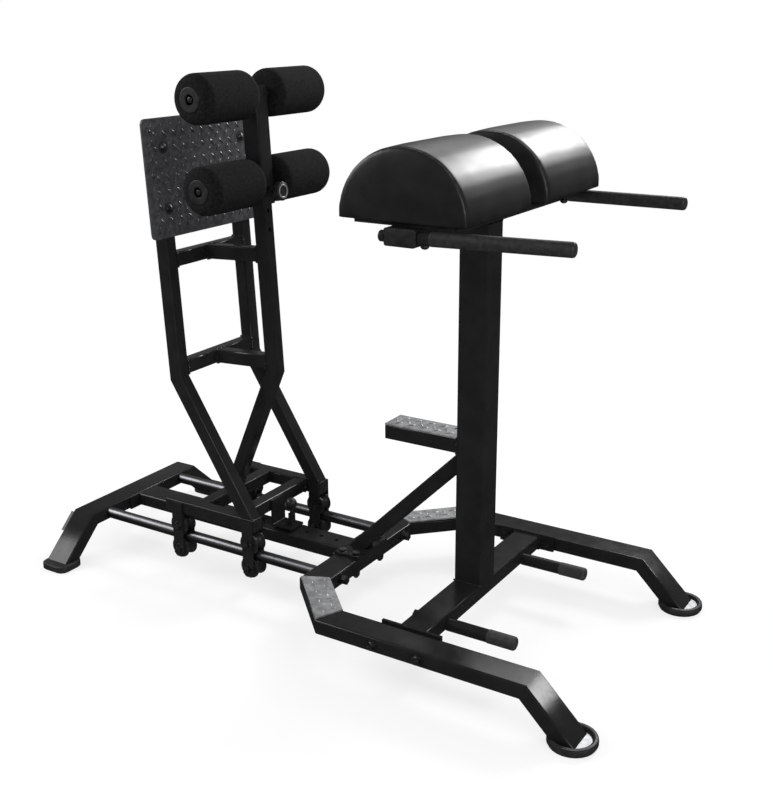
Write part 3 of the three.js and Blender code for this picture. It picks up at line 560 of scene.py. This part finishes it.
# Hip pads: foam under black vinyl, pulled tight round a half-round form, sewn to flat end
# panels and stapled to the board. The vinyl has a fine grain that spreads the highlights.
upholstery_vinyl, shader = finish_called("upholstery vinyl", Specular_IOR_Level=0.5)
tint(upholstery_vinyl, shader, blotches(upholstery_vinyl, 0.05), "#131313", "#1b1b1b")
join(upholstery_vinyl, vary(upholstery_vinyl, blotches(upholstery_vinyl, 0.04, (1, 0.4, 1), 3), 0.37, 0.43),
     shader.inputs["Roughness"])
emboss(upholstery_vinyl, shader, blotches(upholstery_vinyl, 0.0018, detail=3), 0.00006)

pad_voxel = 0.005
pad_swell = 0.005
pad_start = (1.016, 0.996, 1.012)
pad_front_slack = 0.003
stapled_tall = 0.004
seam_inset = 0.011
seam_half = 0.0022
seam_deep = 0.0009


def apply_modifiers(made):
    """Bakes a piece's modifiers into its mesh."""
    graph = bpy.context.evaluated_depsgraph_get()
    baked = bpy.data.meshes.new_from_object(made.evaluated_get(graph))
    made.modifiers.clear()
    made.data = baked


def evened(pad, rounds, foot):
    """Draws each point of a cushion above its stapled foot towards its neighbours."""
    bm = bmesh.new()
    bm.from_mesh(pad.data)
    free = [vert for vert in bm.verts if vert.co.z > foot]
    for _ in range(rounds):
        bmesh.ops.smooth_vert(bm, verts=free, factor=0.5, use_axis_x=True, use_axis_y=True, use_axis_z=True)
    bm.to_mesh(pad.data)
    bm.free()


def stuffed(node, name):
    """A cushion blown up by a cloth simulation from a slightly small copy of its solid."""
    low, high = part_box(node)
    anchor = Vector((high.x - pad_front_slack, (low.y + high.y) / 2, low.z))
    bm = solid_of(node)
    sized = Matrix.Translation(anchor) @ Matrix.Diagonal((*pad_start, 1)) @ Matrix.Translation(-anchor)
    bmesh.ops.transform(bm, matrix=sized, verts=bm.verts)
    bmesh.ops.triangulate(bm, faces=bm.faces)
    mesh = bpy.data.meshes.new(name)
    bm.to_mesh(mesh)
    bm.free()
    pad = bpy.data.objects.new(name, mesh)
    scene.collection.objects.link(pad)
    remesh = pad.modifiers.new("voxels", "REMESH")
    remesh.mode = "VOXEL"
    remesh.voxel_size = pad_voxel
    apply_modifiers(pad)
    foot = low.z + stapled_tall
    evened(pad, 2, foot)
    rest = [vertex.co.copy() for vertex in pad.data.vertices]
    stapled = pad.vertex_groups.new(name="stapled")
    stapled.add([vertex.index for vertex in pad.data.vertices if vertex.co.z < foot], 1, "REPLACE")
    cloth = pad.modifiers.new("vinyl", "CLOTH")
    cloth.settings.use_pressure = True
    cloth.settings.uniform_pressure_force = 4
    cloth.settings.tension_stiffness = 60
    cloth.settings.compression_stiffness = 60
    cloth.settings.shear_stiffness = 30
    cloth.settings.bending_stiffness = 20
    cloth.settings.effector_weights.gravity = 0
    cloth.settings.vertex_group_mass = "stapled"
    for step in range(1, 21):
        scene.frame_set(step)
    apply_modifiers(pad)
    for vertex, start in zip(pad.data.vertices, rest):
        moved = vertex.co - start
        if moved.length > pad_swell:
            vertex.co = start + moved * (pad_swell / moved.length)
    scene.frame_set(1)
    pad.vertex_groups.clear()
    evened(pad, 4, foot)
    finer = pad.modifiers.new("finer", "SUBSURF")
    finer.levels = finer.render_levels = 1
    apply_modifiers(pad)
    inward = [-seam_deep * vertex.normal for vertex in pad.data.vertices]
    for vertex, pull in zip(pad.data.vertices, inward):
        inset = min(vertex.co.y - low.y, high.y - vertex.co.y)
        if vertex.co.z > foot:
            vertex.co += pull * exp(-((inset - seam_inset) / seam_half) ** 2)
    for face in pad.data.polygons:
        face.use_smooth = True
    pad.data.materials.clear()
    pad.data.materials.append(upholstery_vinyl)
    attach(pad, "base")
    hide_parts(node)


for side in ("right", "left"):
    stuffed(f"hip_pad_{side}", f"hip_cushion_{side}")

# Carriage: two rails and two cross-members of square tube, welded, with the barrel of the pull
# pin and moulded plugs in the open ends of the rails.
member_inset = 0.068
plug_thick = 0.0025
plug_slack = 0.001
refined("carriage_frame", [powder_coat])
low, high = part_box("carriage_frame")
rail_y = high.y - tube_half
rail_mid = high.z - tube_half
solid = solid_of("carriage_frame")
rail_ends = [corner.co.x for corner in solid.verts if abs(corner.co.y) > rail_y]
solid.free()
front_member = max(rail_ends) - member_inset
welds = bmesh.new()
for side in (-1, 1):
    bead(welds, section("y", side * (rail_y - tube_half), (front_member, rail_mid), tube_half, tube_half))


def plug(bm, place):
    """A moulded plug in the end of a square tube, with a rounded face."""
    wide = 2 * (tube_half - plug_slack)
    sized = Matrix.Translation((0, 0, plug_thick / 2)) @ Matrix.Diagonal((wide, wide, plug_thick, 1))
    made = bmesh.ops.create_cube(bm, size=1, matrix=place @ sized)
    edges = {edge for vert in made["verts"] for edge in vert.link_edges}
    bmesh.ops.bevel(bm, geom=list(edges), offset=plug_thick * 0.45, offset_type="OFFSET", segments=3,
                    profile=0.5, affect="EDGES", clamp_overlap=True, material=-1)


plugs = bmesh.new()
for side in (-1, 1):
    for end, turn in ((min(rail_ends), -90), (max(rail_ends), 90)):
        spot = Matrix.Translation((end, side * rail_y, rail_mid))
        plug(plugs, spot @ Matrix.Rotation(radians(turn), 4, "Y"))
soften(plugs, 0)
piece(plugs, "rail_plugs", "carriage", [black_plastic])
piece(welds, "carriage_welds", "carriage", [powder_coat])

# Roller brackets: steel plates either side of each rail, with the axles through them. Each axle
# ends in a hexagon head on a round washer.
bracket_face = tube_half + 0.0058
axle_head_half = 0.0095
axle_head_tall = 0.0072
for side in ("right", "left"):
    for place in ("rear", "front"):
        refined(f"roller_bracket_{side}_{place}", [powder_coat])
        heads = bmesh.new()
        for level in ("upper", "lower"):
            low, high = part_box(f"guide_roller_{side}_{place}_{level}")
            middle = (low + high) / 2
            for out in (-1, 1):
                hexagon(heads, middle + Vector((0, out * bracket_face, 0)), Vector((0, out, 0)),
                        axle_head_half, axle_head_tall)
        soften(heads, 0)
        piece(heads, f"bracket_bolts_{side}_{place}", "carriage", [dark_zinc])

# Guide rollers: turned black nylon with a hollow waist that runs on the rod. Turning leaves a
# soft gloss with fine rings.
turned_nylon, shader = finish_called("turned black nylon", Specular_IOR_Level=0.4)
tint(turned_nylon, shader, blotches(turned_nylon, 0.01), "#1d1d1e", "#2b2b2c")
join(turned_nylon, vary(turned_nylon, blotches(turned_nylon, 0.006), 0.3, 0.45), shader.inputs["Roughness"])

roller_radius = 0.030
roller_bore = 0.0053
roller_chamfer = 0.0012
waist_radius = 0.0158
waist_centre = 0.0338
waist_half_turn = degrees(acos((waist_centre - roller_radius) / waist_radius))
for side in ("right", "left"):
    for place in ("rear", "front"):
        for level in ("upper", "lower"):
            node = f"guide_roller_{side}_{place}_{level}"
            low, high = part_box(node)
            half = (high.y - low.y) / 2
            roller = spun(
                [(roller_bore, -half), (roller_radius - roller_chamfer, -half),
                 (roller_radius, roller_chamfer - half)]
                + rounding(waist_centre, 0, waist_radius, 180 + waist_half_turn, 180 - waist_half_turn, 16)
                + [(roller_radius, half - roller_chamfer), (roller_radius - roller_chamfer, half),
                   (roller_bore, half), (roller_bore, -half)],
                (low + high) / 2, (0, 1, 0),
            )
            piece(roller, node + "_turned", frame["nodes"][node]["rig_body"], [turned_nylon],
                  [node])

# Pull pin: a steel pin that locks the carriage to the beam, with a black ball moulded on it.
pin_radius = 0.005
pin_tip_radius = 0.004
pin_tip_tall = 0.002
ball_neck = 0.0075
low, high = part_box("pull_pin")
ball = (high.y - low.y) / 2
pin_axis = ((low.x + high.x) / 2, 0, 0)
pin_body = frame["nodes"]["pull_pin"]["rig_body"]
shank = spun(
    [(0, low.z), (pin_tip_radius, low.z), (pin_radius, low.z + pin_tip_tall), (pin_radius, high.z - ball),
     (0, high.z - ball)],
    pin_axis, (0, 0, 1), 24,
)
piece(shank, "pull_pin_shank", pin_body, [dark_zinc])
knob = spun([(0, high.z - 1.9 * ball), (ball_neck, high.z - 1.9 * ball)]
            + rounding(0, high.z - ball, ball, -58, 90, 14), pin_axis, (0, 0, 1), 36)
piece(knob, "pull_pin_ball", pin_body, [black_plastic], ["pull_pin"])

# Tower: two bent uprights and a bent column of square tube, tied by welded crossbars, with
# moulded plugs in the tops of the uprights.
tower_lean = radians(2.9)
tower_deep = 0.203
column_back = 0.3066
column_knee = 0.5815
tower = Matrix.Translation((beam_front - column_back, 0, column_knee)) @ Matrix.Rotation(-tower_lean, 4, "Y")
upright_tall = 0.664
crossbars = (0.027, 0.316)
refined("tower_frame", [powder_coat])
welds = bmesh.new()
plugs = bmesh.new()
for height in crossbars:
    for side in (-1, 1):
        upright_joint = section("y", side * (rail_y - tube_half), (-tower_deep, height), tube_half, tube_half)
        bead(welds, upright_joint, True, tower)
    for along in (tube_half - tower_deep, -tube_half):
        bead(welds, section("x", along, (0, height), tube_half, tube_half), True, tower)
for side in (-1, 1):
    plug(plugs, tower @ Matrix.Translation((-tower_deep, side * rail_y, upright_tall)))
soften(plugs, 0)
piece(welds, "tower_welds", "carriage", [powder_coat])
piece(plugs, "upright_plugs", "carriage", [black_plastic])

# Foot plate: thick tread sheet with rounded corners, its lozenges dulled to a mid grey by
# shoes, with ground edges and small rivets. Four domed bolts on dark rings hold it.
grey_tread, shader = finish_called("dulled steel tread", Metallic=0.55)
tint(grey_tread, shader, blotches(grey_tread, 0.012, detail=4), "#47484a", "#606163")
join(grey_tread, vary(grey_tread, blotches(grey_tread, 0.02, detail=4), 0.36, 0.44),
     shader.inputs["Roughness"])
emboss(grey_tread, shader, blotches(grey_tread, 0.004, detail=3), 0.0003)

plate_wide = 0.448
plate_tall = 0.299
plate_thick = 0.0053
plate_rise = 0.013
plate_ease = 0.0016
plate_face = tube_half + plate_thick - tower_deep
plate_middle = upright_tall + plate_rise - plate_tall / 2
plate_margin = 0.010
bolt_rise = 0.076
bolt_clear = 0.024
rivet_out = 0.198
rivet_radius = 0.0045
rivet_tall = 0.0018
ring_inner = 0.0118
ring_outer = 0.0165
ring_top = 0.0158
ring_thick = 0.0014
rivets = [(out * rivet_out, rise) for out in (-1, 1) for rise in (0.118, 0.008, -0.130)]
bolts = [(out * rail_y, end * bolt_rise) for out in (-1, 1) for end in (-1, 1)]
plate_place = tower @ Matrix.Translation((plate_face, 0, plate_middle)) @ Matrix(
    ((0, 0, 1, 0), (1, 0, 0, 0), (0, 1, 0, 0), (0, 0, 0, 1)))


def bare_plate(x, y):
    """True where the foot plate has room for a lozenge."""
    clear = all(Vector((x - a, y - b)).length > bolt_clear for a, b in bolts)
    return clear and abs(x) < plate_wide / 2 - plate_margin and abs(y) < plate_tall / 2 - plate_margin


bm = solid_of("foot_plate")
soften(bm, plate_ease)
lozenges(bm, plate_place, plate_wide, plate_tall, bare_plate)
piece(bm, "foot_plate_shape", "carriage", [grey_tread], ["foot_plate"])
tower_out = tower.to_3x3() @ Vector((1, 0, 0))
for number, (x, y) in enumerate(rivets, 1):
    rivet = spun(dome(rivet_radius, rivet_tall), plate_place @ Vector((x, y, 0)), tower_out, 20)
    piece(rivet, f"plate_rivet_{number}", "carriage", [dark_zinc])
for side, out in (("right", -1), ("left", 1)):
    for level, end in (("lower", -1), ("upper", 1)):
        refined(f"foot_plate_bolt_{side}_{level}", [dark_zinc], 0)
        ring = spun([(ring_inner, 0), (ring_outer, 0), (ring_top, ring_thick), (ring_inner, ring_thick)],
                    plate_place @ Vector((out * rail_y, end * bolt_rise, 0)), tower_out, 32)
        piece(ring, f"plate_ring_{side}_{level}", "carriage", [moulded_rubber])

# Ankle carrier: a sleeve over the column with collars and the stub axles of the rollers welded
# through it, and the barrel of the pop pin.
refined("ankle_carrier", [powder_coat])

# Pop pin: a steel pin that sets the height of the rollers, with a moulded knob. The knob's face
# has a bright ring round a plain dark middle.
pin_high = 0.4805
pin_back = 0.021
shank_seat = 0.008
knob_radius = 0.024
knob_long = 0.016
knob_face = 0.071
knob_edge = 0.003
knob_hollow = 0.0125
hollow_ease = 0.001
hollow_deep = 0.0012
pin_body = frame["nodes"]["pop_pin"]["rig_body"]
base = tower @ Vector((0, 0, pin_high))
shank = spun(
    [(0, pin_back), (pin_tip_radius, pin_back), (pin_radius, pin_back + pin_tip_tall),
     (pin_radius, knob_face - shank_seat), (0, knob_face - shank_seat)],
    base, tower_out, 24,
)
piece(shank, "pop_pin_shank", pin_body, [dark_zinc])
knob = spun(
    [(0, knob_face - knob_long), (knob_radius - knob_edge, knob_face - knob_long)]
    + rounding(knob_radius - knob_edge, knob_face - knob_long + knob_edge, knob_edge, -90, 0)
    + rounding(knob_radius - knob_edge, knob_face - knob_edge, knob_edge, 0, 90)
    + [(knob_hollow + hollow_ease, knob_face), (knob_hollow, knob_face - hollow_deep),
       (0, knob_face - hollow_deep)],
    base, tower_out,
)
piece(knob, "pop_pin_knob", pin_body, [black_plastic], ["pop_pin"])

bright_inner = 0.0138
bright_outer = 0.0183
bright_ease = 0.0006
bright_low = knob_face - 0.001
bright_side = knob_face + 0.0004
bright_top = knob_face + 0.0009
ring = spun(
    [(bright_inner, bright_low), (bright_inner, bright_side), (bright_inner + bright_ease, bright_top),
     (bright_outer - bright_ease, bright_top), (bright_outer, bright_side), (bright_outer, bright_low)],
    base, tower_out,
)
piece(ring, "pop_pin_ring", pin_body, [bright_zinc])

# Ankle rollers: dense black foam moulded with round shoulders over a sleeve, and a plastic
# end cap with a screw in its deep hub. The foam is matt and slightly open at its skin.
dense_foam, shader = finish_called("dense foam rubber", Roughness=0.95, Specular_IOR_Level=0.2)
tint(dense_foam, shader, blotches(dense_foam, 0.006, detail=6), "#0b0b0b", "#191919")
emboss(dense_foam, shader, blotches(dense_foam, 0.003, detail=4), 0.0006)

foam_shoulder = 0.025
foam_bore = 0.0131
foam_bore_deep = 0.1956
cap_radius = 0.030
cap_proud = 0.002
cap_wall = 0.004
cap_seat = 0.003
hub_radius = 0.0125
hub_ease = 0.001
hub_deep = 0.005
hub_screw = 0.0075
hub_screw_round = 0.003
hub_screw_foot = 0.0005
for side, out in (("right", -1), ("left", 1)):
    for level in ("lower", "upper"):
        node = f"ankle_roller_{side}_{level}"
        low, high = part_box(node)
        radius = (high.x - low.x) / 2
        length = high.y - low.y - cap_proud
        centre = ((low.x + high.x) / 2, high.y if out < 0 else low.y, (low.z + high.z) / 2)
        hub_floor = length + cap_proud - hub_deep
        seat = [(cap_radius - cap_wall, length), (cap_radius - cap_wall, length - cap_seat),
                (0, length - cap_seat)]
        foam = spun(
            [(0, foam_bore_deep), (foam_bore, foam_bore_deep), (foam_bore, 0)]
            + rounding(radius - foam_shoulder, foam_shoulder, foam_shoulder, -90, 0, 8)
            + rounding(radius - foam_shoulder, length - foam_shoulder, foam_shoulder, 0, 90, 8)
            + seat,
            centre, (0, out, 0), 64,
        )
        made = piece(foam, f"ankle_foam_{side}_{level}", node, [dense_foam], [node])
        cap = spun(
            seat[::-1] + [(cap_radius, length)]
            + rounding(cap_radius - cap_proud, length, cap_proud, 0, 90, 3)
            + [(hub_radius + hub_ease, length + cap_proud), (hub_radius, length + cap_proud - hub_ease),
               (hub_radius, hub_floor), (0, hub_floor)],
            centre, (0, out, 0), 48,
        )
        piece(cap, f"ankle_cap_{side}_{level}", node, [black_plastic])
        screw = spun(
            [(0, hub_floor), (hub_screw, hub_floor)]
            + rounding(hub_screw - hub_screw_round, hub_floor + hub_screw_foot, hub_screw_round, 0, 90, 4)
            + [(0, hub_floor + hub_screw_foot + hub_screw_round)],
            centre, (0, out, 0), 32,
        )
        piece(screw, f"ankle_screw_{side}_{level}", node, [dark_zinc])

# Studio: a pale floor that keeps the shadow, a room that is white to the eye and dim in gloss,
# so that black stays black, and soft lamps from the right, the left and behind.
pale_floor = bpy.data.materials.new("pale studio floor")
pale_floor.use_nodes = True
pale_floor.node_tree.nodes.clear()
white = (1, 1, 1, 1)
sight = add(pale_floor, "ShaderNodeLightPath", {})
place = add(pale_floor, "ShaderNodeTexCoord", {})
reach = add(pale_floor, "ShaderNodeVectorMath", {0: place.outputs["Object"]}, operation="LENGTH")
away = vary(pale_floor, reach.outputs["Value"], 0.75, 1, 0.9, 3.2)
matt = add(pale_floor, "ShaderNodeBsdfDiffuse", {"Color": linear("#f4f4f4")})
bright = add(pale_floor, "ShaderNodeEmission", {"Color": white, "Strength": 1})
dim = add(pale_floor, "ShaderNodeEmission", {"Color": white, "Strength": 0.035})
share = add(pale_floor, "ShaderNodeMath", {0: sight.outputs["Is Camera Ray"], 1: away}, operation="MULTIPLY")
feeds = {0: share.outputs[0], 1: matt.outputs[0], 2: bright.outputs[0]}
mixed = add(pale_floor, "ShaderNodeMixShader", feeds)
gloss = {0: sight.outputs["Is Glossy Ray"], 1: sight.outputs["Is Transmission Ray"]}
clear = add(pale_floor, "ShaderNodeMath", gloss, operation="MAXIMUM")
mixed = add(pale_floor, "ShaderNodeMixShader", {0: clear.outputs[0], 1: mixed.outputs[0], 2: dim.outputs[0]})
add(pale_floor, "ShaderNodeOutputMaterial", {"Surface": mixed.outputs[0]})
floor_mesh = bpy.data.meshes.new("studio_floor")
bm = bmesh.new()
bmesh.ops.create_grid(bm, x_segments=1, y_segments=1, size=20)
bm.to_mesh(floor_mesh)
bm.free()
floor = bpy.data.objects.new("studio_floor", floor_mesh)
floor_mesh.materials.append(pale_floor)
scene.collection.objects.link(floor)

room = bpy.data.worlds.new("studio")
scene.world = room
room.use_nodes = True
room.node_tree.nodes.clear()
sight = add(room, "ShaderNodeLightPath", {})
seen = add(room, "ShaderNodeBackground", {"Color": white, "Strength": 1})
mirrored = add(room, "ShaderNodeBackground", {"Color": white, "Strength": 0.16})
unseen = add(room, "ShaderNodeBackground", {"Color": white, "Strength": 0.7})
feeds = {0: sight.outputs["Is Glossy Ray"], 1: unseen.outputs[0], 2: mirrored.outputs[0]}
mixed = add(room, "ShaderNodeMixShader", feeds)
direct = {0: sight.outputs["Is Camera Ray"], 1: sight.outputs["Is Transmission Ray"]}
clear = add(room, "ShaderNodeMath", direct, operation="MAXIMUM")
mixed = add(room, "ShaderNodeMixShader", {0: clear.outputs[0], 1: mixed.outputs[0], 2: seen.outputs[0]})
add(room, "ShaderNodeOutputWorld", {"Surface": mixed.outputs[0]})

bench_middle = Vector((0, 0, 0.7))
for name, place, size, power in (
    ("right_lamp", (4.2, -1.7, 2.3), 2.4, 50),
    ("left_lamp", (-3.2, -1.4, 2.6), 2.4, 75),
    ("back_lamp", (0.58, 2.3, 2.3), 1.1, 50),
    ("far_lamp", (-1.3, 3.9, 3.9), 1.4, 17),
):
    lamp = bpy.data.lights.new(name, "AREA")
    lamp.shape = "RECTANGLE"
    lamp.size = size
    lamp.size_y = size * 0.6
    lamp.energy = power
    stand = bpy.data.objects.new(name, lamp)
    aim = (bench_middle - Vector(place)).to_track_quat("-Z", "Y")
    stand.matrix_world = Matrix.Translation(place) @ aim.to_matrix().to_4x4()
    scene.collection.objects.link(stand)

scene.view_settings.view_transform = "Standard"
